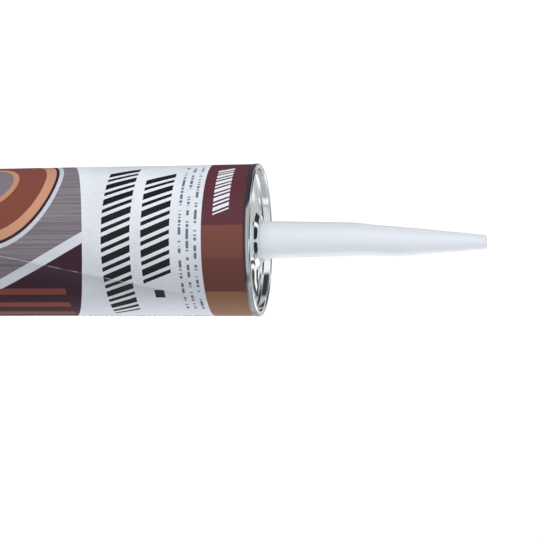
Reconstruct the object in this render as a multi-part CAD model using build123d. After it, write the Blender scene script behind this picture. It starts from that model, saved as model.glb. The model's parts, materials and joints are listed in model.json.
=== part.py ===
"""Sealant cartridge: a wound board tube with a printed label, a seamed metal front end,
a closed plastic nozzle and a cup-shaped plunger in the open rear end.

It stands on its rear rim. +Z runs along the tube towards the nozzle, and the origin is the
centre of the rear rim. The label's front faces -Y. Lengths are in millimetres.
"""

from build123d import *
import os

# Tube
cartridge_length = 215.0  # rear rim to the front plane of the metal rim
bore_radius = 23.65
board_wall = 1.2

# Printed label, a sheet wrapped round the board
label_thickness = 0.15
label_rear_margin = 0.8  # bare board between the rear rim and the label
label_front_gap = 0.1  # between the label and the metal skirt

# Metal front end, one stamping of even thickness
end_gauge = 0.3
end_fit = 0.02  # clearance of the folded rim on each face of the board
skirt_height = 2.2  # outside wall of the folded rim
rim_flat = 0.14  # flat on top of the fold, between its two bends
countersink_depth = 2.8  # from the rim's front plane to the bottom of the groove
groove_outer_bend = 0.6  # bends are at the middle of the sheet
groove_inner_bend = 0.54
groove_width = 1.2  # flat bottom of the groove and its two bends
panel_rise = 1.5  # shallow cone of the panel, from the groove to the neck
neck_hole_clearance = 0.15  # between the neck's edge and the nozzle
neck_top_width = 1.8
neck_top_rise = 0.45
neck_side_width = 1.5
neck_side_rise = 1.15
neck_base_bend = 0.6
neck_shoulder_bend = 1.0

# Nozzle, moulded with a slight offset between its foot and its tapered end
nozzle_root_radius = 6.25  # at the rim's front plane
nozzle_shank_length = 31.0  # from the rim's front plane
nozzle_shank_end_radius = 5.43
nozzle_shoulder_length = 6.0  # first part of the bend
nozzle_shoulder_radius = 5.0
nozzle_shoulder_offset = 0.42  # towards +X, as are the next two
nozzle_bend_length = 8.5
nozzle_bend_end_radius = 4.78
nozzle_bend_offset = 0.94
nozzle_taper_length = 27.5
nozzle_tip_radius = 2.28
nozzle_tip_offset = 1.32
nozzle_tip_round = 0.7
nozzle_wall = 1.0
nozzle_tip_thickness = 2.0
foot_clearance = 0.1  # between the foot and the metal neck above it
foot_rim_height = 0.3
foot_rim_drop = 0.3  # bottom of the foot below the underside of the panel

# Membrane under the nozzle's foot
seal_thickness = 0.1
seal_margin = 0.3  # membrane beyond the foot

# Plunger
plunger_recess = 16.0  # rear rim of the tube to rear rim of the plunger
plunger_length = 20.0
plunger_wall = 1.3
plunger_floor = 1.6
plunger_nose_round = 2.0
plunger_inner_round = 1.2
lip_clearance = 0.05  # sliding lips in the bore
lip_height = 1.6
lip_depth = 0.4  # lips stand this far out of the plunger's side
lip_chamfer = 0.36
lip_inset = 2.4  # each lip's centre from the nearer end of the plunger's straight side

# Sealant
fill_clearance = 0.05
fill_left_over = 2.5  # cannot be pushed out

# Worked out from the values above
board_radius = bore_radius + board_wall
label_radius = board_radius + label_thickness
skirt_edge_z = cartridge_length - skirt_height
skirt_mid_radius = board_radius + end_fit + end_gauge / 2
chuck_mid_radius = bore_radius - end_fit - end_gauge / 2
rim_bend = (skirt_mid_radius - chuck_mid_radius - rim_flat) / 2
board_front_z = cartridge_length - end_gauge / 2 - rim_bend
groove_mid_z = cartridge_length - countersink_depth - end_gauge / 2
panel_edge_radius = chuck_mid_radius - groove_width
panel_top_mid_z = groove_mid_z + panel_rise
neck_hole_radius = nozzle_root_radius + neck_hole_clearance
neck_shoulder_radius = neck_hole_radius + neck_top_width
neck_shoulder_mid_z = panel_top_mid_z + neck_side_rise
neck_base_radius = neck_shoulder_radius + neck_side_width
foot_radius = neck_base_radius - end_gauge - foot_clearance
foot_bottom_z = panel_top_mid_z - end_gauge / 2 - foot_rim_drop
seal_radius = foot_radius + seal_margin
plunger_front_z = plunger_recess + plunger_length
fill_shoulder_z = groove_mid_z - end_gauge / 2 - fill_clearance
fill_top_z = foot_bottom_z - seal_thickness - fill_clearance
plunger_travel = fill_shoulder_z - plunger_front_z - fill_clearance - fill_left_over
shank_end_z = cartridge_length + nozzle_shank_length
shoulder_end_z = shank_end_z + nozzle_shoulder_length
bend_end_z = shoulder_end_z + nozzle_bend_length
nozzle_tip_z = bend_end_z + nozzle_taper_length


def turned(outline):
    """A solid of revolution about Z from an outline of (radius, height) edges."""
    return revolve(make_face(Plane.XZ * Wire(outline)), Axis.Z)


def ring(inner_radius, outer_radius, low_z, high_z):
    """A plain tube between two heights."""
    section = Polyline(
        (inner_radius, low_z),
        (outer_radius, low_z),
        (outer_radius, high_z),
        (inner_radius, high_z),
        close=True,
    )
    return turned(section.edges())


def make_body_tube():
    """The wound board, cut square at both ends. Its front edge sits in the metal end's fold."""
    return ring(bore_radius, board_radius, 0, board_front_z)


def make_printed_label():
    """The wrapped sheet, from just above the rear rim to the metal skirt."""
    return ring(
        board_radius, label_radius, label_rear_margin, skirt_edge_z - label_front_gap
    )


def make_front_end():
    """The stamping: skirt, fold over the board, chuck wall, groove, panel and neck.

    The outline is the middle of the sheet with a bend at each corner, thickened both ways.
    """
    middle = FilletPolyline(
        (skirt_mid_radius, skirt_edge_z),
        (skirt_mid_radius, cartridge_length - end_gauge / 2),
        (chuck_mid_radius, cartridge_length - end_gauge / 2),
        (chuck_mid_radius, groove_mid_z),
        (panel_edge_radius, groove_mid_z),
        (neck_base_radius, panel_top_mid_z),
        (neck_shoulder_radius, neck_shoulder_mid_z),
        (neck_hole_radius, neck_shoulder_mid_z + neck_top_rise),
        radius=[
            rim_bend,
            rim_bend,
            groove_outer_bend,
            groove_inner_bend,
            neck_base_bend,
            neck_shoulder_bend,
        ],
    )
    sheet = trace(middle, line_width=end_gauge)
    return revolve(Plane.XZ * sheet, Axis.Z)


def nozzle_sections(inset, low_z, high_z):
    """Circles along the nozzle between two heights, each smaller than the outside by inset."""
    share = (high_z - bend_end_z) / nozzle_taper_length
    high_radius = nozzle_bend_end_radius + share * (nozzle_tip_radius - nozzle_bend_end_radius)
    high_offset = nozzle_bend_offset + share * (nozzle_tip_offset - nozzle_bend_offset)
    places = [
        (0, low_z, nozzle_root_radius),
        (0, shank_end_z, nozzle_shank_end_radius),
        (nozzle_shoulder_offset, shoulder_end_z, nozzle_shoulder_radius),
        (nozzle_bend_offset, bend_end_z, nozzle_bend_end_radius),
        (high_offset, high_z, high_radius),
    ]
    return [Pos(x, 0, z) * Circle(radius - inset) for x, z, radius in places]


def make_nozzle():
    """A hollow, closed spout on a cone-shaped foot that fills the metal neck from inside."""
    spout = loft(nozzle_sections(0, foot_bottom_z, nozzle_tip_z), ruled=True)
    spout = fillet(spout.edges().group_by(Axis.Z)[-1], nozzle_tip_round)
    under_neck = end_gauge / 2 + foot_clearance
    foot_shoulder_z = neck_shoulder_mid_z - under_neck
    foot = turned(
        Polyline(
            (0, foot_bottom_z),
            (foot_radius, foot_bottom_z),
            (foot_radius, foot_bottom_z + foot_rim_height),
            (neck_shoulder_radius - end_gauge, foot_shoulder_z - under_neck),
            (nozzle_root_radius - neck_hole_clearance, foot_shoulder_z),
            (0, foot_shoulder_z),
            close=True,
        ).edges()
    )
    bore_end_z = nozzle_tip_z - nozzle_tip_thickness
    bore = loft(nozzle_sections(nozzle_wall, foot_bottom_z, bore_end_z), ruled=True)
    return spout + foot - bore


def make_nozzle_seal():
    """A thin disc across the nozzle's foot."""
    disc = Cylinder(
        seal_radius, seal_thickness, align=(Align.CENTER, Align.CENTER, Align.MAX)
    )
    return Pos(0, 0, foot_bottom_z) * disc


def make_sealant_fill():
    """The sealant, from the plunger to the underside of the metal end and the membrane."""
    fill_radius = bore_radius - fill_clearance
    rear_z = plunger_front_z + fill_clearance
    return turned(
        Polyline(
            (0, rear_z),
            (fill_radius, rear_z),
            (fill_radius, fill_shoulder_z),
            (panel_edge_radius, fill_shoulder_z),
            (neck_base_radius, fill_top_z),
            (0, fill_top_z),
            close=True,
        ).edges()
    )


def make_plunger():
    """A cup that opens to the rear, with a lip near each end of its side."""
    lip_radius = bore_radius - lip_clearance
    side_radius = lip_radius - lip_depth
    cup = Pos(0, 0, plunger_recess) * Cylinder(
        side_radius, plunger_length, align=(Align.CENTER, Align.CENTER, Align.MIN)
    )
    cup = fillet(cup.edges().group_by(Axis.Z)[-1], plunger_nose_round)
    for lip_z in (
        plunger_recess + lip_inset,
        plunger_front_z - plunger_nose_round - lip_inset,
    ):
        lip = Pos(0, 0, lip_z) * Cylinder(lip_radius, lip_height)
        cup += chamfer(lip.edges().filter_by(GeomType.CIRCLE), lip_chamfer)
    hollow = Pos(0, 0, plunger_recess) * Cylinder(
        side_radius - plunger_wall,
        plunger_length - plunger_floor,
        align=(Align.CENTER, Align.CENTER, Align.MIN),
    )
    return cup - fillet(hollow.edges().group_by(Axis.Z)[-1], plunger_inner_round)


os.makedirs("parts", exist_ok=True)
nodes = {
    "body_tube": make_body_tube(),
    "printed_label": make_printed_label(),
    "front_end": make_front_end(),
    "nozzle": make_nozzle(),
    "nozzle_seal": make_nozzle_seal(),
    "sealant_fill": make_sealant_fill(),
    "plunger": make_plunger(),
}
for name, solid in nodes.items():
    export_step(solid, f"parts/{name}.step")
print("plunger travel", round(plunger_travel, 2))
print("fixed end of the sealant", round(fill_shoulder_z, 2))
print("sealant, ml", round(nodes["sealant_fill"].volume / 1000, 1))
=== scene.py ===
"""The looks of a sealant cartridge, built round its packed construction frame.

Lengths are in metres. The cartridge stands on its rear rim, +Z runs along it towards the
nozzle, and the front of its label faces -Y. "Round" is the distance round the label from the
middle of its front, positive towards +X, and "height" is the distance above the rear rim.
"""

import json
import math

import bmesh
import bpy
import numpy as np
from bpy.props import FloatProperty, FloatVectorProperty, PointerProperty
from mathutils import Matrix, Vector


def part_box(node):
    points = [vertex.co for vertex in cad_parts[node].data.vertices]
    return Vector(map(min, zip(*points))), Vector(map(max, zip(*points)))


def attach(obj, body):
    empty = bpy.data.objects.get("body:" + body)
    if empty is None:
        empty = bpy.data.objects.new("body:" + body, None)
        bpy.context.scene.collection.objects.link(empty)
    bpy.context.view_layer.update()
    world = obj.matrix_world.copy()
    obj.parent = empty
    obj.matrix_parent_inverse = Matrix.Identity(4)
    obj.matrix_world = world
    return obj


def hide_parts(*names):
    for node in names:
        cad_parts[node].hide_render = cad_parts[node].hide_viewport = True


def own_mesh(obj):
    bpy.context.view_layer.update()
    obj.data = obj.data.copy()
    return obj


bl_info = {
    "name": "Sealant Cartridge",
    "version": (1, 0, 0),
    "blender": (4, 5, 0),
    "location": "View3D > Sidebar > Cartridge",
    "description": "Builds the label, metal end, nozzle, board tube and plunger of a sealant cartridge",
    "category": "Add Mesh",
}

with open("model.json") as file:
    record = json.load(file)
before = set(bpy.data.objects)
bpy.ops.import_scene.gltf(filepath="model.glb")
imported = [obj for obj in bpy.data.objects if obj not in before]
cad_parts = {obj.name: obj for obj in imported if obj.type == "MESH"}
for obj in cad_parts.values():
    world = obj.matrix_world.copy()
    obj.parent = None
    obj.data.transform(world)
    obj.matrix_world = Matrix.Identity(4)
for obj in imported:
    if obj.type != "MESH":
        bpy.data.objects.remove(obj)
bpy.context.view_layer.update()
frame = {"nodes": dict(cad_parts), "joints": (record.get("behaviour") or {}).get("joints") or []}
BODY, PLUNGER_BODY = "cartridge", "plunger"
MM = 0.001
TURN = 2 * math.pi
_, BOARD_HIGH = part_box("body_tube")
LABEL_LOW, LABEL_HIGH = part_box("printed_label")
_, END_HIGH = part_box("front_end")
FILL_LOW, FILL_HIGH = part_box("sealant_fill")
PLUNGER_LOW, PLUNGER_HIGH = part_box("plunger")
NOZZLE_LOW, NOZZLE_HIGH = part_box("nozzle")
LABEL_RADIUS = LABEL_HIGH.x
BORE_RADIUS = FILL_HIGH.x + 0.05 * MM  # the sealant is this much smaller than the bore
NOZZLE_REACH = 73 * MM  # from the front plane of the metal rim to the nozzle's tip
RIM_Z = NOZZLE_HIGH.z - NOZZLE_REACH


def amount(name, default, description, **more):
    """A number property that is never negative."""
    return FloatProperty(name=name, default=default, description=description, min=0, **more)


def size(name, default, description):
    """A length property, in metres."""
    return amount(name, default, description, unit="LENGTH")


def point(name, default, description):
    """A place, in metres."""
    return FloatVectorProperty(
        name=name, default=default, description=description, unit="LENGTH", size=3
    )


def colour(name, default, description):
    """A colour property."""
    return FloatVectorProperty(
        name=name, default=default, description=description, subtype="COLOR", size=3, min=0, max=1
    )


# --- shapes ---


def rounded_path(corners, radii, steps=8):
    """Points along straight runs joined by tangent arcs.

    At each inner corner, an arc of the given radius starts radius * tan(turn / 2) before it
    and ends as far after it, and is sampled by angle about its centre.
    """
    corners = np.asarray(corners, float)
    pieces = [corners[:1]]
    for before, corner, after, radius in zip(corners, corners[1:], corners[2:], radii):
        into = (corner - before) / np.linalg.norm(corner - before)
        out = (after - corner) / np.linalg.norm(after - corner)
        side = into[0] * out[1] - into[1] * out[0]
        turn = math.atan2(side, into @ out)
        setback = radius * math.tan(abs(turn) / 2)
        normal = np.array([-into[1], into[0]]) * math.copysign(1, turn)
        centre = corner - into * setback + normal * radius
        swept = np.linspace(0, turn, steps + 1)[:, None]
        arm = -normal * radius
        square_to_arm = np.array([-arm[1], arm[0]])
        pieces.append(centre + arm * np.cos(swept) + square_to_arm * np.sin(swept))
    pieces.append(corners[-1:])
    return np.vstack(pieces)


def spread(path, spacing):
    """The same path with extra points, so that no two are further apart than spacing."""
    gaps = np.linalg.norm(np.diff(path, axis=0), axis=1)
    counts = np.maximum(1, np.ceil(gaps / spacing).astype(int))
    start = np.repeat(np.arange(len(gaps)), counts)
    first = np.concatenate([[0], np.cumsum(counts)[:-1]])
    share = (np.arange(counts.sum()) - np.repeat(first, counts)) / np.repeat(counts, counts)
    inner = path[start] + share[:, None] * (path[start + 1] - path[start])
    return np.vstack([inner, path[-1:]])


def thickened(path, gauge):
    """A closed outline round a path, half the gauge to each side of it."""
    along = np.gradient(path, axis=0)
    along /= np.linalg.norm(along, axis=1)[:, None]
    normal = np.stack([-along[:, 1], along[:, 0]], axis=1) * gauge / 2
    return np.vstack([path + normal, (path - normal)[::-1]])


def new_object(name, vertices, faces, smooth_angle=35, uv=None):
    """A mesh object at the origin with outward faces, smooth except across sharp edges."""
    mesh = bpy.data.meshes.new(name)
    mesh.from_pydata(vertices.tolist(), [], faces)
    if uv is not None:
        layer = mesh.uv_layers.new(name="sheet")
        corner = np.zeros(len(mesh.loops), np.int32)
        mesh.loops.foreach_get("vertex_index", corner)
        layer.data.foreach_set("uv", uv[corner].astype(np.float32).ravel())
    work = bmesh.new()
    work.from_mesh(mesh)
    bmesh.ops.recalc_face_normals(work, faces=work.faces)
    work.to_mesh(mesh)
    work.free()
    mesh.polygons.foreach_set("use_smooth", np.ones(len(mesh.polygons), bool))
    mesh.set_sharp_from_angle(angle=math.radians(smooth_angle))
    piece = bpy.data.objects.new(name, mesh)
    bpy.context.scene.collection.objects.link(piece)
    return piece


def grid_quads(rows, columns, wrap_rows=False, wrap_columns=False):
    """Corner numbers of the quads of a grid whose vertices are numbered row by row."""
    row = np.arange(rows if wrap_rows else rows - 1)
    column = np.arange(columns if wrap_columns else columns - 1)
    i, j = (a.ravel() for a in np.meshgrid(row, column, indexing="ij"))
    next_i, next_j = (i + 1) % rows, (j + 1) % columns
    corners = [i * columns + j, i * columns + next_j, next_i * columns + next_j, next_i * columns + j]
    return np.stack(corners, axis=1)


def turned(name, outline, segments=256, sway=None, ripple=None, smooth_angle=35):
    """A surface of revolution: (radius, height) becomes (radius cos a, radius sin a, height).

    An outline that starts and ends on the axis is closed there by a fan, and any other is a
    closed loop. sway(height) shifts a point along X, and ripple(radius, height, a) lifts it.
    """
    on_axis = outline[0, 0] == 0
    ring = outline[1:-1] if on_axis else outline
    angles = np.linspace(0, TURN, segments, endpoint=False)[None, :]
    radius, height, angle = np.broadcast_arrays(ring[:, :1], ring[:, 1:], angles)
    lifted = height + ripple(radius, height, angle) if ripple else height
    shift = sway(height) if sway else 0
    points = np.stack([radius * np.cos(angle) + shift, radius * np.sin(angle), lifted], axis=-1)
    points = points.reshape(-1, 3)
    faces = grid_quads(len(ring), segments, wrap_rows=not on_axis, wrap_columns=True).tolist()
    if on_axis:
        poles = [[sway(z) if sway else 0, 0, z] for z in (outline[0, 1], outline[-1, 1])]
        first_pole = np.full(segments, len(points))
        points = np.vstack([points, poles])
        around = np.arange(segments)
        after = (around + 1) % segments
        last = (len(ring) - 1) * segments
        fans = [
            np.stack([after, around, first_pole], axis=1),
            np.stack([around + last, after + last, first_pole + 1], axis=1),
        ]
        faces += np.vstack(fans).tolist()
    return new_object(name, points, faces, smooth_angle)


def sheet_slab(name, outer, inner, uv):
    """A thin closed sheet between two grids of points, with its four edges closed."""
    rows, columns = outer.shape[:2]
    across = 2 * columns
    loop = np.concatenate([outer, inner[:, ::-1]], axis=1)
    loop_uv = np.concatenate([uv, uv[:, ::-1]], axis=1)
    faces = [grid_quads(rows, across, wrap_columns=True)]
    near = np.arange(columns - 1)
    far = across - 1 - near
    for first in (0, (rows - 1) * across):
        faces.append(first + np.stack([near, near + 1, far - 1, far], axis=1))
    faces = np.vstack(faces).tolist()
    return new_object(name, loop.reshape(-1, 3), faces, uv=loop_uv.reshape(-1, 2))


# --- materials ---


def shade(tint, strength):
    """A colour made darker or lighter by a factor."""
    return tuple(strength * value for value in tint)


class Tree:
    """A node tree with short ways to add nodes."""

    def __init__(self, tree):
        self.nodes, self.links = tree.nodes, tree.links

    def put(self, value, socket):
        """Links an output to a socket, or sets the socket to a value."""
        if isinstance(value, bpy.types.NodeSocket):
            self.links.new(value, socket)
        else:
            socket.default_value = value

    def math(self, operation, *values):
        node = self.nodes.new("ShaderNodeMath")
        node.operation = operation
        for value, socket in zip(values, node.inputs):
            self.put(value, socket)
        return node.outputs[0]

    def times(self, first, second):
        return self.math("MULTIPLY", first, second)

    def plus(self, first, second):
        return self.math("ADD", first, second)

    def minus(self, first, second):
        return self.math("SUBTRACT", first, second)

    def mix(self, share, first, second):
        """The first colour where share is 0 and the second where it is 1."""
        node = self.nodes.new("ShaderNodeMix")
        node.data_type = "RGBA"
        self.put(share, node.inputs[0])
        for value, number in ((first, 6), (second, 7)):
            is_output = isinstance(value, bpy.types.NodeSocket)
            self.put(value if is_output else (*value, 1), node.inputs[number])
        return node.outputs[2]

    def mix_shaders(self, share, first, second):
        """The first shader where share is 0 and the second where it is 1."""
        node = self.nodes.new("ShaderNodeMixShader")
        for value, socket in zip((share, first, second), node.inputs):
            self.links.new(value, socket)
        return node.outputs[0]

    def ramp(self, value, low, high, from_value=0.0, to_value=1.0):
        """Maps value from low..high to from_value..to_value, held at both ends."""
        node = self.nodes.new("ShaderNodeMapRange")
        for item, socket in zip((value, low, high, from_value, to_value), node.inputs):
            self.put(item, socket)
        return node.outputs[0]

    def split(self, vector):
        """The three parts of a vector."""
        node = self.nodes.new("ShaderNodeSeparateXYZ")
        self.put(vector, node.inputs[0])
        return node.outputs

    def reach(self, x, y):
        """The square root of x squared plus y squared."""
        squares = self.plus(self.times(x, x), self.times(y, y))
        return self.math("SQRT", squares)

    def stretched(self, vector, scale):
        node = self.nodes.new("ShaderNodeMapping")
        self.put(vector, node.inputs["Vector"])
        node.inputs["Scale"].default_value = scale
        return node.outputs[0]

    def noise(self, vector, scale, detail=3.0, roughness=0.5):
        node = self.nodes.new("ShaderNodeTexNoise")
        self.put(vector, node.inputs["Vector"])
        for name, value in (("Scale", scale), ("Detail", detail), ("Roughness", roughness)):
            node.inputs[name].default_value = value
        return node.outputs["Fac"]


class Shader(Tree):
    """A material with one Principled surface."""

    def __init__(self, name, **sockets):
        self.material = bpy.data.materials.new(name)
        self.material.use_nodes = True
        super().__init__(self.material.node_tree)
        self.surface = self.nodes["Principled BSDF"]
        for socket, value in sockets.items():
            self.surface.inputs[socket.replace("_", " ")].default_value = value

    def place(self):
        """The point on the piece, in metres."""
        return self.nodes.new("ShaderNodeTexCoord").outputs["Object"]

    def tones(self, pattern, tint, low=1.0, high=1.0):
        """Two shades of a colour, mixed by a pattern's values from 0.3 to 0.7."""
        return self.mix(self.ramp(pattern, 0.3, 0.7), shade(tint, low), shade(tint, high))

    def drive(self, socket, value):
        """Links an output to one of the surface's sockets."""
        self.links.new(value, self.surface.inputs[socket])

    def bump(self, height, strength, distance):
        node = self.nodes.new("ShaderNodeBump")
        node.inputs["Strength"].default_value = strength
        node.inputs["Distance"].default_value = distance
        self.put(height, node.inputs["Height"])
        self.drive("Normal", node.outputs[0])


# --- label ---


class LabelSettings(bpy.types.PropertyGroup):
    """Sizes and colours of the printed label."""

    overlap: size("Overlap", 7 * MM, "How far the sheet's outer end lies over its inner end")
    crease_height: size("Crease height", 0.2 * MM, "Height of the long crease")
    wave_height: size("Wave height", 0.05 * MM, "Height of the sheet's faint unevenness")
    ground: colour("Ground", (0.80, 0.835, 0.90), "Colour of the unprinted sheet")
    ink: colour("Ink", (0.012, 0.011, 0.014), "Colour of the heading bars")
    fine_ink: colour("Fine ink", (0.16, 0.17, 0.21), "Colour of the fine lines")
    maroon: colour("Maroon", (0.108, 0.032, 0.044), "First field of the front band")
    brown: colour("Brown", (0.190, 0.066, 0.052), "Second field of the front band")
    tan: colour("Tan", (0.275, 0.130, 0.074), "Third field of the front band")
    slate: colour("Slate", (0.235, 0.205, 0.235), "Lined field of the picture block")
    rust: colour("Rust", (0.22, 0.065, 0.045), "Warm discs of the picture block")
    salmon: colour("Salmon", (0.60, 0.30, 0.19), "Narrow rings of the picture block")
    aubergine: colour("Aubergine", (0.045, 0.018, 0.028), "Dark field of the picture block")


CREASE_START = np.array([2.0, 122.0]) * MM  # round, height
CREASE_END = np.array([21.5, 203.0]) * MM
CREASE_BOW = 1.1 * MM
CREASE_WIDTH = 1.7 * MM
EDGE_FADE = 4 * MM  # the relief fades over this height at the sheet's two cut edges
LAP_RISE, LAP_FLATNESS = 0.9, 0.8  # shares of the thickness and of the relief at the overlap
LAP_INNER_RISE = 1.05  # how much more the inner face rises there than the outer
CREASE_FADES = (0.12, 0.15)  # shares of the crease over which its ends fade


def crease_distance(around, height):
    """Signed distance from a bowed line, and how much of the line is passed, as a share.

    Its bow is a parabola that is 0 at both ends.
    """
    run = CREASE_END - CREASE_START
    length = np.linalg.norm(run)
    along = ((around - CREASE_START[0]) * run[0] + (height - CREASE_START[1]) * run[1]) / length**2
    across = ((around - CREASE_START[0]) * run[1] - (height - CREASE_START[1]) * run[0]) / length
    return across + CREASE_BOW * 4 * along * (1 - along), along


def label_relief(around, height, settings):
    """Height of the sheet's relief: long shallow waves plus a bell-shaped ridge on the crease."""
    waves = (
        np.sin(around / (9.1 * MM) + height / (23 * MM))
        + 0.7 * np.sin(around / (5.3 * MM) - height / (31 * MM) + 1.3)
        + 0.5 * np.sin(height / (7.9 * MM) + 0.6 * np.sin(around / (6.7 * MM)))
    )
    across, along = crease_distance(around, height)
    fade = np.clip(along / CREASE_FADES[0], 0, 1) * np.clip((1 - along) / CREASE_FADES[1], 0, 1)
    ridge = np.exp(-((across / CREASE_WIDTH) ** 2)) * fade
    return settings.wave_height * waves / 2.2 + settings.crease_height * ridge


# The print, on the unrolled sheet in millimetres. A box is its lowest and highest distance
# round and its lowest and highest height, and a span is a lowest and a highest value.
SLANT = 0.42  # how far a stripe leans round for each step up
BROAD_STRIPE, SLIM_STRIPE = (0.0, 0.38), (0.58, 0.79)  # shares of the pitch
HEADING_ROWS = ((-22.3, 14.8, 180.2, 189.4), (-26.6, 31.0, 167.4, 176.7))
HEADING_PITCH = 6.3
HEADING_BOX = (16.6, 20.2, 183.2, 186.4)
FINE_LINES, FINE_LINE = (192.6, 195.1, 197.6), (-31, 27, 0.85)  # heights; span and thickness
SIDE_LINE, SIDE_BOX = (34.4, 36.2, 138, 198.5), (34.6, 37.2, 183.5, 187.5)
PICTURE_BOX = (-37, 38, 66, 170)
PICTURE_TOP, PICTURE_BOW = 161.3, 0.0065
PICTURE_SLANT, SLANT_HEIGHT = 0.55, 150
PALE_STRIPE = (3.0, 6.6)  # span across the slant, and the dark field starts with it
DISC_CENTRE = (-22.0, 127.0)
DISC_RINGS = (  # radius, colour and its strength
    (25.0, "ground", 0.74),
    (23.6, "aubergine", 1.0),
    (22.6, "salmon", 1.0),
    (19.4, "rust", 1.0),
    (10.4, "salmon", 0.9),
    (8.6, "slate", 0.9),
)
RUST_BARS, RUST_BAR_WIDTH, RUST_BAR_SPAN = (16.0, 22.5, 29.0), 2.6, (96, 154)
FRONT_BAND, REAR_BAND, REAR_LINE = (199.5, 213.0), (5.0, 14.0), (16.0, 17.6)
FRONT_FIELDS = (  # span, colour and its strength
    (-4.85, 5.5, "brown", 1.0),
    (5.5, 17.6, "brown", 0.8),
    (17.6, 47.0, "tan", 1.0),
    (47.0, 62.0, "brown", 1.0),
)
EMBLEM, EMBLEM_PITCH = (-27.5, -8.0, 203, 208), 3.4
FRONT_SIDE = (-40, 40)
BACK_COLUMNS = ((44, 74, 60, 31.0, 5), (-74, -44, 84, 131.0, 7))  # span, foot, seed and its step
BACK_LINES, BACK_LINE_PITCH, BACK_LINE_THICKNESS = 16, 5.2, 1.3
BACK_BOXES, BACK_FRAME = ((44, 74, 150, 176), (-74, -44, 44, 72)), 1
BACK_STRIPES, BACK_PITCH = ((48, 72, 157, 169), (-70, -48, 52, 64)), 6
# The middle colour of these three is painted shade, laid beside the crease on its lower side.
GOLD, CREASE_SHADE_TONE, BARE_CREASE = (0.70, 0.46, 0.10), (0.10, 0.11, 0.15), (0.72, 0.74, 0.79)


class LabelPrint(Shader):
    """The label's shader, with masks that are 1 inside a printed shape and 0 outside it."""

    def __init__(self, ground):
        super().__init__("Printed label", Specular_IOR_Level=0.2)
        self.printed = ground
        uv = self.nodes.new("ShaderNodeUVMap")
        uv.uv_map = "sheet"
        sheet = self.split(uv.outputs[0])
        self.around = self.times(sheet[0], 1 / MM)
        self.height = self.times(sheet[1], 1 / MM)

    def lay(self, mask, tint):
        """Lays a colour over the print so far, where the mask is 1."""
        self.printed = self.mix(mask, self.printed, tint)

    def span(self, value, low, high):
        """1 where a value lies between low and high."""
        return self.math("COMPARE", value, (low + high) / 2, (high - low) / 2)

    def any_of(self, masks):
        """1 where any of the masks is 1."""
        total = masks[0]
        for mask in masks[1:]:
            total = self.math("MAXIMUM", total, mask)
        return total

    def box(self, low_round, high_round, low_height, high_height):
        across = self.span(self.around, low_round, high_round)
        return self.times(across, self.span(self.height, low_height, high_height))

    def disc(self, centre_round, centre_height, radius):
        """A circle: the distance from its centre is under its radius."""
        across = self.minus(self.around, centre_round)
        up = self.minus(self.height, centre_height)
        return self.math("LESS_THAN", self.reach(across, up), radius)

    def leaning(self, slope, foot):
        """The distance round plus slope times the height above a foot."""
        above = self.minus(self.height, foot)
        return self.plus(self.around, self.times(above, slope))

    def stripes(self, start, end, low_height, high_height, pitch):
        """A row of slanted stripes, broad and slim by turns, with slanted ends."""
        run = self.leaning(SLANT, low_height)
        turn = self.math("FRACT", self.math("DIVIDE", self.minus(run, start), pitch))
        broad_or_slim = self.any_of([self.span(turn, *BROAD_STRIPE), self.span(turn, *SLIM_STRIPE)])
        row = self.times(self.span(run, start, end), self.span(self.height, low_height, high_height))
        return self.times(row, broad_or_slim)

    def dashes(self, low_round, high_round, middle, thickness, seed):
        """A line of short dashes of uneven lengths, cut out of noise along the line."""
        cell = self.nodes.new("ShaderNodeTexWhiteNoise")
        cell.noise_dimensions = "1D"
        step = self.math("FLOOR", self.plus(self.times(self.around, 2.1), seed))
        self.links.new(step, cell.inputs["W"])
        gap = self.nodes.new("ShaderNodeTexNoise")
        gap.noise_dimensions = "1D"
        gap.inputs["Scale"].default_value = 0.33
        gap.inputs["Detail"].default_value = 0
        self.links.new(self.plus(self.around, seed * 7.7), gap.inputs["W"])
        dash = self.math("GREATER_THAN", cell.outputs["Value"], 0.34)
        group = self.math("LESS_THAN", gap.outputs["Fac"], 0.62)
        line = self.box(low_round, high_round, middle - thickness / 2, middle + thickness / 2)
        return self.times(line, self.times(dash, group))


def lay_picture(s, settings):
    """The picture block: a lined field, a dark slanted field, and a rust disc with rings.

    Its top edge falls by PICTURE_BOW times the square of the distance round.
    """
    fall = s.times(s.times(s.around, s.around), PICTURE_BOW)
    under_edge = s.math("LESS_THAN", s.height, s.minus(PICTURE_TOP, fall))
    grain = s.noise(s.stretched(s.place(), (1500, 1500, 26)), 1.0, 4, 0.62)
    line = s.ramp(grain, 0.36, 0.64)
    lined = s.mix(line, shade(settings.slate, 0.66), shade(settings.slate, 1.16))
    slant = s.leaning(PICTURE_SLANT, SLANT_HEIGHT)
    dark = s.math("GREATER_THAN", slant, PALE_STRIPE[0])
    picture = s.mix(dark, lined, settings.aubergine)
    picture = s.mix(s.span(slant, *PALE_STRIPE), picture, shade(settings.ground, 0.9))
    for radius, name, strength in DISC_RINGS:
        tint = shade(getattr(settings, name), strength)
        picture = s.mix(s.disc(*DISC_CENTRE, radius), picture, tint)
    for low in RUST_BARS:
        bar = s.times(s.box(low, low + RUST_BAR_WIDTH, *RUST_BAR_SPAN), dark)
        picture = s.mix(bar, picture, settings.rust)
    s.lay(s.times(under_edge, s.box(*PICTURE_BOX)), picture)


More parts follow.
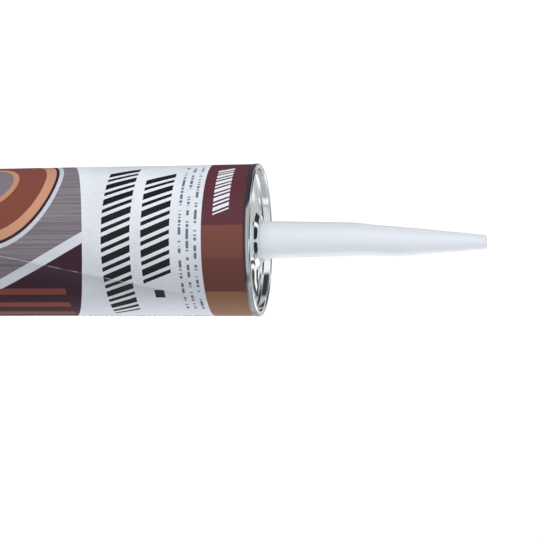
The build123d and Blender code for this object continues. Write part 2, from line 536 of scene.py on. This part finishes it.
def lay_headings(s, settings):
    """Two rows of heading stripes, three fine lines, and a broken line at the side."""
    rows = [s.stripes(*row, HEADING_PITCH) for row in HEADING_ROWS]
    s.lay(s.any_of([*rows, s.box(*HEADING_BOX)]), settings.ink)
    low, high, thickness = FINE_LINE
    lines = [s.dashes(low, high, z, thickness, n * 13.0) for n, z in enumerate(FINE_LINES)]
    s.lay(s.any_of(lines), settings.fine_ink)
    height_only = s.nodes.new("ShaderNodeCombineXYZ")
    s.links.new(s.height, height_only.inputs[2])
    broken = s.math("GREATER_THAN", s.noise(height_only.outputs[0], 1.1, 0), 0.46)
    s.lay(s.times(s.box(*SIDE_LINE), broken), settings.fine_ink)
    s.lay(s.box(*SIDE_BOX), GOLD)


def lay_back(s, settings):
    """Two columns of fine lines and two framed rows of stripes on the back."""
    lines = []
    for low, high, foot, seed, step in BACK_COLUMNS:
        for n in range(BACK_LINES):
            middle = foot + BACK_LINE_PITCH * n
            lines.append(s.dashes(low, high, middle, BACK_LINE_THICKNESS, seed + n * step))
    s.lay(s.any_of(lines), settings.fine_ink)
    s.lay(s.any_of([s.box(*box) for box in BACK_BOXES]), settings.tan)
    inset = (BACK_FRAME, -BACK_FRAME, BACK_FRAME, -BACK_FRAME)
    insides = [s.box(*(side + move for side, move in zip(box, inset))) for box in BACK_BOXES]
    s.lay(s.any_of(insides), shade(settings.ground, 0.97))
    s.lay(s.any_of([s.stripes(*row, BACK_PITCH) for row in BACK_STRIPES]), settings.maroon)


def lay_bands(s, settings):
    """The front band, with a bare margin beside the metal skirt, and the rear band and line."""
    fields = settings.maroon
    for low, high, name, strength in FRONT_FIELDS:
        fields = s.mix(s.span(s.around, low, high), fields, shade(getattr(settings, name), strength))
    fields = s.mix(s.stripes(*EMBLEM, EMBLEM_PITCH), fields, settings.ground)
    s.lay(s.span(s.height, *FRONT_BAND), fields)
    front_side = s.span(s.around, *FRONT_SIDE)
    s.lay(s.span(s.height, *REAR_BAND), s.mix(front_side, settings.brown, settings.maroon))
    s.lay(s.span(s.height, *REAR_LINE), s.mix(front_side, settings.tan, settings.salmon))


def lay_wear_and_shade(s, settings):
    """Worn ink along the crease, the same bowed line as the ridge, and painted shade beside it on its
    lower side.
    """
    start = (CREASE_START / MM).tolist()
    run = ((CREASE_END - CREASE_START) / MM).tolist()
    length = math.hypot(*run)
    aside, above = s.minus(s.around, start[0]), s.minus(s.height, start[1])

    def weighed(first, second):
        """first times the distance round from the crease's start, plus second times the height."""
        return s.plus(s.times(aside, first), s.times(above, second))

    along = weighed(run[0] / length**2, run[1] / length**2)
    bulge = s.times(along, s.minus(1, along))
    across = weighed(run[1] / length, -run[0] / length)
    offset = s.plus(across, s.times(bulge, 4 * CREASE_BOW / MM))
    fade_in = s.ramp(along, 0.0, CREASE_FADES[0])
    fade_out = s.ramp(along, 1 - CREASE_FADES[1], 1.0, 1, 0)
    # Painted shade: a dark tone beside the crease on its lower side, fading over about 6 mm.
    painted_crease_shade = s.times(s.ramp(offset, 0.1, 6.0, 0.17, 0), s.math("GREATER_THAN", offset, 0))
    s.lay(s.times(painted_crease_shade, s.times(fade_in, fade_out)), CREASE_SHADE_TONE)
    wear = s.ramp(s.noise(s.place(), 420, 3), 0.40, 0.62, 0.1, 0.6)
    on_line = s.times(s.ramp(s.math("ABSOLUTE", offset), 0.07, 0.19, 1, 0), s.span(along, 0.02, 0.9))
    s.lay(s.times(on_line, wear), BARE_CREASE)


def paint_label(settings):
    """The printed sheet: a faintly cloudy ground, then each print laid over those before it, with the
    crease's worn ink and painted shade last.
    """
    s = LabelPrint(shade(settings.ground, 0.90))
    paper = s.noise(s.stretched(s.place(), (1, 1, 0.6)), 900, 4)
    cloudy = s.noise(s.place(), 75, 3)
    mottle = s.plus(s.times(paper, 0.4), s.times(cloudy, 0.6))
    s.lay(s.ramp(mottle, 0.36, 0.62), settings.ground)
    for lay_part in (lay_picture, lay_headings, lay_back, lay_bands, lay_wear_and_shade):
        lay_part(s, settings)
    s.drive("Base Color", s.printed)
    s.drive("Roughness", s.ramp(cloudy, 0.3, 0.7, 0.38, 0.5))
    fibre = s.plus(s.times(paper, 0.25), s.noise(s.place(), 140, 2))
    s.bump(fibre, 0.18, 0.12 * MM)
    return s.material


class CARTRIDGE_OT_label(bpy.types.Operator):
    """Wraps the printed sheet round the board, with its overlap at the back"""

    bl_idname = "cartridge.label"
    bl_label = "Printed label"

    def execute(self, context):
        """A cylinder by distance round and height, lifted by its relief and by the lap."""
        settings = context.scene.cartridge_label
        board, thickness = BOARD_HIGH.x, LABEL_RADIUS - BOARD_HIGH.x
        half = math.pi * LABEL_RADIUS
        around, height = np.meshgrid(
            np.linspace(-half, half + settings.overlap, 240),
            np.linspace(LABEL_LOW.z, LABEL_HIGH.z, 201),
        )
        from_edge = np.minimum(height - LABEL_LOW.z, LABEL_HIGH.z - height)
        edge_fade = np.clip(from_edge / EDGE_FADE, 0, 1)
        ramp = np.clip((around - (half - settings.overlap)) / settings.overlap, 0, 1)
        lap = (ramp * ramp * (3 - 2 * ramp)) * thickness * LAP_RISE
        relief = label_relief(around, height, settings) * edge_fade * (1 - ramp * LAP_FLATNESS)
        angle = around / LABEL_RADIUS - math.pi / 2
        outer, inner = (
            np.stack([radius * np.cos(angle), radius * np.sin(angle), height], axis=-1)
            for radius in (LABEL_RADIUS + relief + lap, board + lap * LAP_INNER_RISE)
        )
        piece = sheet_slab("label_sheet", outer, inner, np.stack([around, height], axis=-1))
        piece.data.materials.append(paint_label(settings))
        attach(piece, BODY)
        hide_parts("printed_label")
        return {"FINISHED"}


# --- metal end ---


class MetalEndSettings(bpy.types.PropertyGroup):
    """Sizes and colours of the stamped metal end. Its outer sizes come from the frame."""

    gauge: size("Gauge", 0.3 * MM, "Thickness of the sheet")
    groove_depth: size("Groove depth", 2.8 * MM, "From the rim's front plane to the groove")
    groove_width: size("Groove width", 1.2 * MM, "From the chuck wall to the panel's edge")
    panel_rise: size("Panel rise", 1.5 * MM, "From the groove up to the neck's foot")
    dent: size("Unevenness", 0.06 * MM, "Height of the panel's faint unevenness")
    tint: colour("Tint", (0.80, 0.835, 0.86), "Colour of the bright tinplate")
    # Painted shade: the skirt's darker colour stands in for the dark surroundings it reflects.
    painted_skirt_shade: colour("Painted_skirt_shade", (0.336, 0.3507, 0.3612), "Colour of the duller skirt")


SKIRT_HEIGHT = 2.2 * MM
SKIRT_SWELL = 1.0 * MM  # height above the skirt's edge at which it is widest
SKIRT_TUCK, SKIRT_BULGE = 0.045 * MM, 0.04 * MM
END_FIT = 0.02 * MM  # between the folded metal and the board
RIM_FLAT = 0.14 * MM  # between the fold's two bends
NECK_HOLE, NECK_SHOULDER, NECK_FOOT = 6.4 * MM, 8.2 * MM, 9.7 * MM  # radii at mid sheet
NECK_SIDE_RISE, NECK_TOP_RISE = 1.15 * MM, 0.45 * MM


def metal_end_path(settings):
    """The middle of the sheet from the skirt's edge to the edge of the neck's hole."""
    gauge = settings.gauge
    skirt = END_HIGH.x - gauge / 2
    chuck = BORE_RADIUS - END_FIT - gauge / 2
    top = RIM_Z - gauge / 2
    groove = RIM_Z - settings.groove_depth - gauge / 2
    panel_top = groove + settings.panel_rise
    shoulder_z = panel_top + NECK_SIDE_RISE
    skirt_edge = RIM_Z - SKIRT_HEIGHT
    fold = (skirt - chuck - RIM_FLAT) / 2
    corners = [
        (skirt - SKIRT_TUCK, skirt_edge),
        (skirt + SKIRT_BULGE, skirt_edge + SKIRT_SWELL),
        (skirt, top),
        (chuck, top),
        (chuck, groove),
        (chuck - settings.groove_width, groove),
        (NECK_FOOT, panel_top),
        (NECK_SHOULDER, shoulder_z),
        (NECK_HOLE, shoulder_z + NECK_TOP_RISE),
    ]
    bends = [7.5 * MM, fold, fold, 0.6 * MM, 0.54 * MM, 0.6 * MM, 1.0 * MM]
    return rounded_path(corners, bends, steps=10)


def paint_tinplate(settings):
    """Bright tinplate with faint rolled streaks and shallow waves, and painted shade on the skirt's
    outer wall: a darker colour there stands in for the dark surroundings it reflects.
    """
    s = Shader("Bright tinplate", Metallic=1.0)
    place = s.place()
    streaks = s.noise(s.stretched(place, (30, 600, 600)), 1.0, 3)
    s.drive("Roughness", s.ramp(streaks, 0.3, 0.7, 0.03, 0.07))
    x, y, _ = s.split(place)
    # Painted shade on the skirt's outer wall, in the outermost tenth of a millimetre of radius.
    skirt_shade_mask = s.ramp(s.reach(x, y), END_HIGH.x - 0.14 * MM, END_HIGH.x - 0.04 * MM)
    s.drive("Base Color", s.mix(skirt_shade_mask, settings.tint, settings.painted_skirt_shade))
    s.bump(s.noise(place, 95, 0), 0.06, 0.25 * MM)
    return s.material


class CARTRIDGE_OT_metal_end(bpy.types.Operator):
    """Stamps the metal end: skirt, fold over the board, groove, panel and neck"""

    bl_idname = "cartridge.metal_end"
    bl_label = "Metal end"

    def execute(self, context):
        settings = context.scene.cartridge_metal_end
        path = spread(metal_end_path(settings), 0.5 * MM)
        outline = thickened(path, settings.gauge)

        def unevenness(radius, height, angle):
            """Slow waves round the panel that fade to nothing at the groove and the neck."""
            inner, outer = NECK_FOOT + 0.2 * MM, 22.0 * MM
            share = np.clip((radius - inner) / (outer - inner), 0, 1)
            waves = np.sin(3 * angle + 0.7) + 0.6 * np.sin(5 * angle + 2.1)
            return settings.dent * np.sin(math.pi * share) ** 2 * waves

        piece = turned("metal_end", outline, segments=320, ripple=unevenness, smooth_angle=50)
        piece.data.materials.append(paint_tinplate(settings))
        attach(piece, BODY)
        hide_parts("front_end")
        return {"FINISHED"}


# --- nozzle ---


class NozzleSettings(bpy.types.PropertyGroup):
    """Sizes and colour of the closed nozzle."""

    wall: size("Wall", 1.0 * MM, "Thickness of the nozzle's wall")
    tip_thickness: size("Tip thickness", 2.0 * MM, "Solid length at the closed tip")
    tip_round: size("Tip round", 0.7 * MM, "Radius of the tip's edge")
    blend: size("Blend", 1.6 * MM, "Length over which one cone turns into the next")
    tint: colour("Tint", (0.74, 0.773, 0.823), "Colour of the milky plastic")


# Places along the nozzle, in millimetres: height above the rim, outer radius, shift towards +X.
NOZZLE_PLACES = np.array(
    [
        [-2.0, 6.25, 0.0],
        [0.0, 6.25, 0.0],
        [31.0, 5.43, 0.0],
        [37.0, 5.0, 0.42],
        [45.5, 4.78, 0.94],
        [NOZZLE_REACH / MM, 2.28, 1.32],
    ]
) * MM
FOOT_DROP, FOOT_SLOPE_START = 0.55 * MM, 7.9 * MM  # foot's top below the rim, radius at its bend
FOOT_SLOPE_DROP, FOOT_RIM = 0.25 * MM, 0.3 * MM


def eased(height, column, blend):
    """Straight runs between the nozzle's places, with corners softened by a running mean."""
    offsets = np.linspace(-blend, blend, 9)
    known = NOZZLE_PLACES[:, 0] + RIM_Z
    values = [np.interp(height + o, known, NOZZLE_PLACES[:, column]) for o in offsets]
    return np.mean(values, axis=0)


def nozzle_outline(settings):
    """Radius and height from the tip's middle down the outside, round the foot and up the bore."""
    tip, foot_z, foot_radius = NOZZLE_HIGH.z, NOZZLE_LOW.z, NOZZLE_HIGH.y
    tip_round, blend = settings.tip_round, settings.blend
    rows = np.linspace(tip - tip_round, RIM_Z, 150)
    side = np.stack([eased(rows, 1, blend), rows], axis=1)
    swing = np.linspace(0, math.pi / 2, 8)[:-1]
    edge = (side[0, 0] - tip_round * (1 - np.sin(swing)), tip - tip_round * (1 - np.cos(swing)))
    tip_arc = np.stack(edge, axis=1)
    tip_flat = np.stack([np.linspace(0, 1, 5)[:-1] * tip_arc[0, 0], np.full(4, tip)], axis=1)
    foot_top = RIM_Z - FOOT_DROP
    foot = np.array(
        [
            (NOZZLE_PLACES[0, 1], foot_top),
            (FOOT_SLOPE_START, foot_top - FOOT_SLOPE_DROP),
            (foot_radius, foot_z + FOOT_RIM),
            (foot_radius, foot_z),
        ]
    )
    bore_end = tip - settings.tip_thickness
    bore_rows = np.linspace(foot_z, bore_end, 90)
    bore = np.stack([eased(bore_rows, 1, blend) - settings.wall, bore_rows], axis=1)
    return np.vstack([tip_flat, tip_arc, side, foot, bore, [(0.0, bore_end)]])


def paint_nozzle(settings):
    """Milky plastic that lets light through, a little cloudy, with faint flow marks."""
    depth = {"Subsurface_Radius": (1.0, 1.0, 1.0), "Subsurface_Scale": 1.0 * MM}
    s = Shader("Milky plastic", Roughness=0.36, IOR=1.51, Subsurface_Weight=0.35, **depth)
    cloud = s.noise(s.stretched(s.place(), (90, 90, 22)), 1.0, 2)
    s.drive("Base Color", s.tones(cloud, settings.tint, low=0.955))
    flow = s.noise(s.stretched(s.place(), (700, 700, 40)), 1.0, 2)
    s.bump(flow, 0.12, 0.06 * MM)
    return s.material


class CARTRIDGE_OT_nozzle(bpy.types.Operator):
    """Moulds the closed nozzle with its foot under the metal neck"""

    bl_idname = "cartridge.nozzle"
    bl_label = "Nozzle"

    def execute(self, context):
        settings = context.scene.cartridge_nozzle

        def sway(height):
            return eased(np.asarray(height, float), 2, settings.blend)

        piece = turned("nozzle_spout", nozzle_outline(settings), segments=128, sway=sway)
        piece.data.materials.append(paint_nozzle(settings))
        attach(piece, BODY)
        bpy.data.collections["milky pieces"].objects.link(piece)
        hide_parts("nozzle")
        return {"FINISHED"}


# --- board tube ---


class BoardSettings(bpy.types.PropertyGroup):
    """Sizes and colours of the wound board tube."""

    edge_round: size("Edge round", 0.12 * MM, "Softness of the cut edge")
    ply_pitch: size("Ply width", 62 * MM, "Rise of the wound strip in one turn")
    kraft: colour("Kraft", (0.42, 0.31, 0.21), "Colour of the cut board")


PLY_THICKNESS = 0.3 * MM
SEAM_SHARE = 0.012  # width of the wound seam as a share of the ply's width
LINING_DEPTH = 0.05 * MM
LINING_DARK, LINING_LIGHT, LINING_SEAM = (0.40, 0.40, 0.41), (0.52, 0.52, 0.53), (0.2, 0.2, 0.2)


def paint_board(settings):
    """Wound board: thin plies at the cut edge, a wound seam that climbs the wall, a smooth lining.

    The seam is a helix: height over the pitch plus the share of a turn is whole on it.
    """
    s = Shader("Wound board", Specular_IOR_Level=0.3)
    place = s.place()
    x, y, z = s.split(place)
    reach = s.reach(x, y)
    plies = s.math("SINE", s.times(reach, TURN / PLY_THICKNESS))
    fibres = s.noise(s.stretched(place, (1, 1, 0.25)), 900, 4)
    turn = s.math("DIVIDE", s.math("ARCTAN2", y, x), TURN)
    climb = s.math("FRACT", s.plus(s.math("DIVIDE", z, settings.ply_pitch), turn))
    seam = s.math("LESS_THAN", climb, SEAM_SHARE)
    tone = s.tones(fibres, settings.kraft, low=0.78, high=1.15)
    tone = s.mix(s.ramp(plies, -1, 1, 0, 0.35), tone, shade(settings.kraft, 0.6))
    tone = s.mix(s.times(seam, 0.6), tone, shade(settings.kraft, 0.5))
    lined = s.math("LESS_THAN", reach, BORE_RADIUS + LINING_DEPTH)
    lining = s.mix(s.ramp(fibres, 0.3, 0.7), LINING_DARK, LINING_LIGHT)
    lining = s.mix(s.times(seam, 0.5), lining, LINING_SEAM)
    s.drive("Base Color", s.mix(lined, tone, lining))
    s.drive("Roughness", s.ramp(lined, 0, 1, 0.82, 0.38))
    s.bump(s.minus(fibres, seam), 0.4, 0.1 * MM)
    return s.material


class CARTRIDGE_OT_board(bpy.types.Operator):
    """Winds the board tube, open at the rear"""

    bl_idname = "cartridge.board"
    bl_label = "Board tube"

    def execute(self, context):
        settings = context.scene.cartridge_board
        outer, inner, top = BOARD_HIGH.x, BORE_RADIUS, BOARD_HIGH.z
        middle = (inner + outer) / 2
        corners = [(middle, 0), (outer, 0), (outer, top), (inner, top), (inner, 0), (middle, 0)]
        outline = rounded_path(corners, [settings.edge_round] * 4, steps=4)[:-1]
        piece = turned("board_tube", spread(outline, 12 * MM), segments=256)
        piece.data.materials.append(paint_board(settings))
        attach(piece, BODY)
        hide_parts("body_tube")
        return {"FINISHED"}


# --- plunger, sealant, membrane ---


class PlungerSettings(bpy.types.PropertyGroup):
    """Sizes and colour of the plunger, and the colour of the sealant."""

    wall: size("Wall", 1.3 * MM, "Thickness of the skirt")
    floor: size("Floor", 1.6 * MM, "Thickness of the floor")
    lip: size("Lip", 0.4 * MM, "How far the lips stand out of the skirt")
    tint: colour("Tint", (0.80, 0.80, 0.77), "Colour of the plunger's plastic")
    sealant: colour("Sealant", (0.16, 0.13, 0.11), "Colour of the sealant")


NOSE_ROUND, CUP_ROUND = 2.0 * MM, 1.2 * MM
LIP_INSET = 2.4 * MM  # from each end of the plunger's straight side to the middle of a lip
LIP_HALF, LIP_SLOPE, LIP_EDGE = 0.8 * MM, 0.36 * MM, 0.04 * MM


def paint_plunger(settings):
    """Plain moulded plastic with a fine grain and faint turning marks from its mould."""
    s = Shader("Plunger plastic", Roughness=0.45, Subsurface_Weight=0.2, Subsurface_Scale=1.5 * MM)
    place = s.place()
    x, y, _ = s.split(place)
    rings = s.math("SINE", s.times(s.reach(x, y), TURN / (0.7 * MM)))
    grain = s.noise(place, 1400, 3)
    s.drive("Base Color", s.tones(grain, settings.tint, low=0.94))
    s.bump(s.plus(grain, s.times(rings, 0.12)), 0.2, 0.08 * MM)
    return s.material


def paint_sealant(settings):
    """Smooth sealant with a faint swirl."""
    s = Shader("Sealant", Roughness=0.3)
    swirl = s.noise(s.stretched(s.place(), (60, 60, 15)), 1.0, 3)
    s.drive("Base Color", s.tones(swirl, settings.sealant, low=0.8, high=1.1))
    s.bump(swirl, 0.15, 0.3 * MM)
    return s.material


class CARTRIDGE_OT_plunger(bpy.types.Operator):
    """Moulds the cup-shaped plunger with its two lips"""

    bl_idname = "cartridge.plunger"
    bl_label = "Plunger"

    def execute(self, context):
        settings = context.scene.cartridge_plunger
        low, high, lip = PLUNGER_LOW.z, PLUNGER_HIGH.z, PLUNGER_HIGH.x
        side, cup = lip - settings.lip, lip - settings.lip - settings.wall
        floor = high - settings.floor

        def lip_points(middle):
            """One lip from its front edge to its rear edge."""
            return [
                (side, middle + LIP_HALF),
                (lip - LIP_EDGE, middle + LIP_HALF),
                (lip, middle + LIP_HALF - LIP_SLOPE),
                (lip, middle - LIP_HALF + LIP_SLOPE),
                (lip - LIP_EDGE, middle - LIP_HALF),
                (side, middle - LIP_HALF),
            ]

        front_lip, rear_lip = lip_points(high - NOSE_ROUND - LIP_INSET), lip_points(low + LIP_INSET)
        corners = [(0, high), (side, high), *front_lip, *rear_lip]
        corners += [(side, low), (cup, low), (cup, floor), (0, floor)]
        bends = [NOSE_ROUND, *[0.03 * MM] * 12, 0.25 * MM, 0.25 * MM, CUP_ROUND]
        outline = rounded_path(corners, bends, steps=6)
        piece = turned("plunger_cup", spread(outline, 1.5 * MM), segments=192)
        piece.data.materials.append(paint_plunger(settings))
        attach(piece, PLUNGER_BODY)
        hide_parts("plunger")
        return {"FINISHED"}


class CARTRIDGE_OT_sealant(bpy.types.Operator):
    """Fills the tube with sealant that shortens as the plunger moves"""

    bl_idname = "cartridge.sealant"
    bl_label = "Sealant"

    def execute(self, context):
        settings = context.scene.cartridge_plunger
        slide = next(j for j in frame["joints"] if j["name"] == "plunger_slide")
        shoulder = slide["deforming_nodes"][0]["fixed_end_z_m"]
        radius, rear, top = FILL_HIGH.x, FILL_LOW.z, FILL_HIGH.z
        cone_edge = 22.2 * MM
        corners = [(0, rear), (radius, rear), (radius, shoulder), (cone_edge, shoulder)]
        corners += [(NECK_FOOT, top), (0, top)]
        outline = spread(rounded_path(corners, [0.3 * MM] * 4, steps=4), 6 * MM)
        piece = turned("sealant_column", outline, segments=160)
        piece.data.materials.append(paint_sealant(settings))
        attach(piece, BODY)
        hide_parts("sealant_fill")
        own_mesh(piece)
        return {"FINISHED"}


class CARTRIDGE_OT_membrane(bpy.types.Operator):
    """Gives the membrane under the nozzle's foot its foil finish"""

    bl_idname = "cartridge.membrane"
    bl_label = "Membrane"

    def execute(self, context):
        s = Shader("Foil", Base_Color=(0.8, 0.8, 0.82, 1), Metallic=1.0, Roughness=0.3)
        s.bump(s.noise(s.place(), 700, 3), 0.3, 0.1 * MM)
        node = frame["nodes"]["nozzle_seal"]
        node.data.materials.clear()
        node.data.materials.append(s.material)
        return {"FINISHED"}


# --- stage ---


class StageSettings(bpy.types.PropertyGroup):
    """Camera, lights and backdrop."""

    eye: point("Eye", (0, -0.400, 0.2757), "Camera position")
    aim: point("Aim", (0.00989, 0, 0.21758), "Point in the middle of the view")
    roll: FloatProperty(
        name="Roll", default=math.radians(-0.332), description="Turn of the view", subtype="ANGLE"
    )
    lens: amount("Lens", 81.85, "Focal length in millimetres")
    backdrop: amount("Backdrop", 1.05, "Brightness of the backdrop")
    floor_glow: amount("Floor glow", 0.70, "Light that the floor gives")
    ambient: amount("Ambient", 0.40, "Strength of the soft surround")
    key_power: amount("Key", 10.0, "Power of the key light", unit="POWER")
    fill_power: amount("Fill", 11.0, "Power of the low light", unit="POWER")
    through_power: amount("Through", 1.3, "Power of the light on the nozzle alone", unit="POWER")


def area_light(name, power, width, height, place, target):
    """A soft rectangular light that faces a target. The camera and reflections don't see it."""
    data = bpy.data.lights.new(name, "AREA")
    data.shape, data.size, data.size_y, data.energy = "RECTANGLE", width, height, power
    light = bpy.data.objects.new(name, data)
    light.location = place
    light.rotation_euler = (Vector(target) - Vector(place)).to_track_quat("-Z", "Y").to_euler()
    light.visible_camera = light.visible_glossy = False
    bpy.context.scene.collection.objects.link(light)
    return light


# Soft cards of the studio that show only in reflections: azimuth and elevation of the middle,
# width and height, in degrees, and brightness or colour. Azimuth 0 is +X, and 90 is +Y.
DUSKY = (0.14, 0.115, 0.155)
CARDS = (
    (90, 10, 150, 44, 0.60),
    (-90, 35, 120, 40, 0.95),
    (-80, -23, 260, 18, DUSKY),
    (180, -12, 150, 26, DUSKY),
    (-90, -4.5, 100, 21, 1.25),
    (10, -4.5, 70, 21, 0.95),
    (0, 90, 360, 60, 0.03),
    (-75, 72, 34, 34, 1.3),
    (52, 34, 40, 26, 1.4),
    (130, 36, 44, 30, 0.04),
    (87.6, 8, 0.5, 36, 0.15),
    (86.9, 8, 0.5, 36, 1.3),
    (86.3, 8, 0.6, 36, 0.03),
    (85.7, 8, 0.5, 36, 1.3),
    (85.2, 8, 0.5, 36, 0.03),
    (84.6, 8, 0.5, 36, 1.3),
    (95.1, 8, 1.0, 36, 1.3),
    (-175, 10, 50, 34, 0.05),
    (-136, 10, 22, 34, 1.25),
    (-20, 10, 12, 34, 1.2),
    (120, 56, 130, 9, 1.2),
    (90, 39, 56, 12, 0.05),
)
CARD_BASE = 0.55  # brightness between the cards
CARD_SOFTNESS = 4.0  # widest fade to each side of an edge, in degrees


def reflected_studio(tree):
    """Brightness by direction: each card is laid over those before it, with soft edges.

    Azimuth is the arctangent of y over x, and elevation the arcsine of z, in degrees.
    """
    direction = tree.nodes.new("ShaderNodeTexCoord").outputs["Generated"]
    x, y, z = tree.split(direction)
    azimuth = tree.math("DEGREES", tree.math("ARCTAN2", y, x))
    elevation = tree.math("DEGREES", tree.math("ARCSINE", z))
    brightness = (CARD_BASE,) * 3
    for middle, level, width, tall, strength in CARDS:
        aside = tree.math("WRAP", tree.minus(azimuth, middle), 180, -180)
        above = tree.minus(elevation, level)
        sides = []
        for offset, extent in ((aside, width), (above, tall)):
            soft = min(CARD_SOFTNESS, extent / 7)
            edges = (extent / 2 - soft, extent / 2 + soft)
            sides.append(tree.ramp(tree.math("ABSOLUTE", offset), *edges, 1, 0))
        tone = strength if isinstance(strength, tuple) else (strength,) * 3
        brightness = tree.mix(tree.times(*sides), brightness, tone)
    return brightness


FLOOR_RADIUS, FLOOR_SIDES = 8.0, 64


def lay_floor(settings):
    """A pale round floor that the camera sees from above alone, with no shadow or reflection."""
    angle = np.linspace(0, TURN, FLOOR_SIDES, endpoint=False)
    rim = FLOOR_RADIUS * np.stack([np.cos(angle), np.sin(angle), 0 * angle], axis=1)
    mesh = bpy.data.meshes.new("floor")
    mesh.from_pydata(rim.tolist(), [], [tuple(range(FLOOR_SIDES))])
    floor = bpy.data.objects.new("floor", mesh)
    bpy.context.scene.collection.objects.link(floor)
    s = Shader("Pale floor", Base_Color=(0.86, 0.87, 0.88, 1), Roughness=0.9)
    s.surface.inputs["Emission Color"].default_value = (1, 1, 1, 1)
    s.surface.inputs["Emission Strength"].default_value = settings.floor_glow
    from_below = s.nodes.new("ShaderNodeNewGeometry").outputs["Backfacing"]
    clear = s.nodes.new("ShaderNodeBsdfTransparent").outputs[0]
    either = s.mix_shaders(from_below, s.surface.outputs[0], clear)
    s.links.new(either, s.nodes["Material Output"].inputs["Surface"])
    floor.data.materials.append(s.material)
    floor.visible_diffuse = floor.visible_glossy = floor.visible_shadow = False


def make_surround(settings):
    """A world that is white to the camera, soft to the lighting and full of cards in reflections."""
    world = bpy.data.worlds.new("Surround")
    world.use_nodes = True
    tree = Tree(world.node_tree)
    tree.nodes.clear()

    def background(tone, strength):
        node = tree.nodes.new("ShaderNodeBackground")
        tree.put(tone, node.inputs["Color"])
        node.inputs["Strength"].default_value = strength
        return node.outputs[0]

    shown = background((1, 1, 1, 1), settings.backdrop)
    lit = background((0.95, 0.97, 1.0, 1), settings.ambient)
    reflected = background(reflected_studio(tree), 1.0)
    ray = tree.nodes.new("ShaderNodeLightPath").outputs
    unseen = tree.mix_shaders(ray["Is Glossy Ray"], lit, reflected)
    surround = tree.mix_shaders(ray["Is Camera Ray"], unseen, shown)
    tree.links.new(surround, tree.nodes.new("ShaderNodeOutputWorld").inputs["Surface"])
    bpy.context.scene.world = world


def add_camera(settings):
    """A camera at the eye that faces the aim, rolled about its own axis."""
    camera = bpy.data.objects.new("camera", bpy.data.cameras.new("camera"))
    camera.data.lens, camera.data.sensor_width = settings.lens, 36
    camera.data.clip_start, camera.data.clip_end = 0.02, 50
    eye, aim = Vector(settings.eye), Vector(settings.aim)
    forward = (aim - eye).normalized()
    right = (Vector((0, 0, 1)) - forward * forward.z).normalized()
    up = right.cross(forward)
    cosine, sine = math.cos(settings.roll), math.sin(settings.roll)
    right, up = right * cosine + up * sine, up * cosine - right * sine
    axes = Matrix((right, up, -forward)).transposed().to_4x4()
    camera.matrix_world = Matrix.Translation(eye) @ axes
    bpy.context.scene.collection.objects.link(camera)
    bpy.context.scene.camera = camera


class CARTRIDGE_OT_stage(bpy.types.Operator):
    """Sets up the pale floor, the soft lights and the camera"""

    bl_idname = "cartridge.stage"
    bl_label = "Stage"

    def execute(self, context):
        settings = context.scene.cartridge_stage
        context.scene.view_settings.view_transform = "Standard"
        lay_floor(settings)
        make_surround(settings)
        on_tube, on_nozzle = (0, 0, 0.19), (0, 0, 0.25)
        area_light("key", settings.key_power, 0.7, 1.0, (-0.71, -0.84, 0.45), on_tube)
        area_light("low_light", settings.fill_power, 0.7, 1.0, (0.95, 0.55, 0.35), on_tube)
        # Stands for the light that the nozzle's milky wall passes on from behind.
        place = (0.5, -0.30, 0.40)
        through = area_light("through_light", settings.through_power, 0.5, 0.5, place, on_nozzle)
        through.light_linking.receiver_collection = bpy.data.collections.new("milky pieces")
        add_camera(settings)
        return {"FINISHED"}


# --- panel ---

OPERATORS = (
    CARTRIDGE_OT_stage,
    CARTRIDGE_OT_board,
    CARTRIDGE_OT_label,
    CARTRIDGE_OT_metal_end,
    CARTRIDGE_OT_nozzle,
    CARTRIDGE_OT_membrane,
    CARTRIDGE_OT_sealant,
    CARTRIDGE_OT_plunger,
)
SETTINGS = {
    "cartridge_label": LabelSettings,
    "cartridge_metal_end": MetalEndSettings,
    "cartridge_nozzle": NozzleSettings,
    "cartridge_board": BoardSettings,
    "cartridge_plunger": PlungerSettings,
    "cartridge_stage": StageSettings,
}


class CARTRIDGE_PT_panel(bpy.types.Panel):
    """Lists the cartridge's pieces and their settings"""

    bl_idname = "CARTRIDGE_PT_panel"
    bl_label = "Sealant cartridge"
    bl_space_type = "VIEW_3D"
    bl_region_type = "UI"
    bl_category = "Cartridge"

    def draw(self, context):
        for operator in OPERATORS:
            self.layout.operator(operator.bl_idname)
        for attribute, group in SETTINGS.items():
            box = self.layout.box()
            for name in group.__annotations__:
                box.prop(getattr(context.scene, attribute), name)


CLASSES = (*SETTINGS.values(), *OPERATORS, CARTRIDGE_PT_panel)


def register():
    for item in CLASSES:
        bpy.utils.register_class(item)
    for attribute, group in SETTINGS.items():
        setattr(bpy.types.Scene, attribute, PointerProperty(type=group))


def unregister():
    for attribute in SETTINGS:
        delattr(bpy.types.Scene, attribute)
    for item in reversed(CLASSES):
        bpy.utils.unregister_class(item)


def main():
    register()
    for operator in OPERATORS:
        group, name = operator.bl_idname.split(".")
        getattr(getattr(bpy.ops, group), name)()


if __name__ == "__main__":
    main()
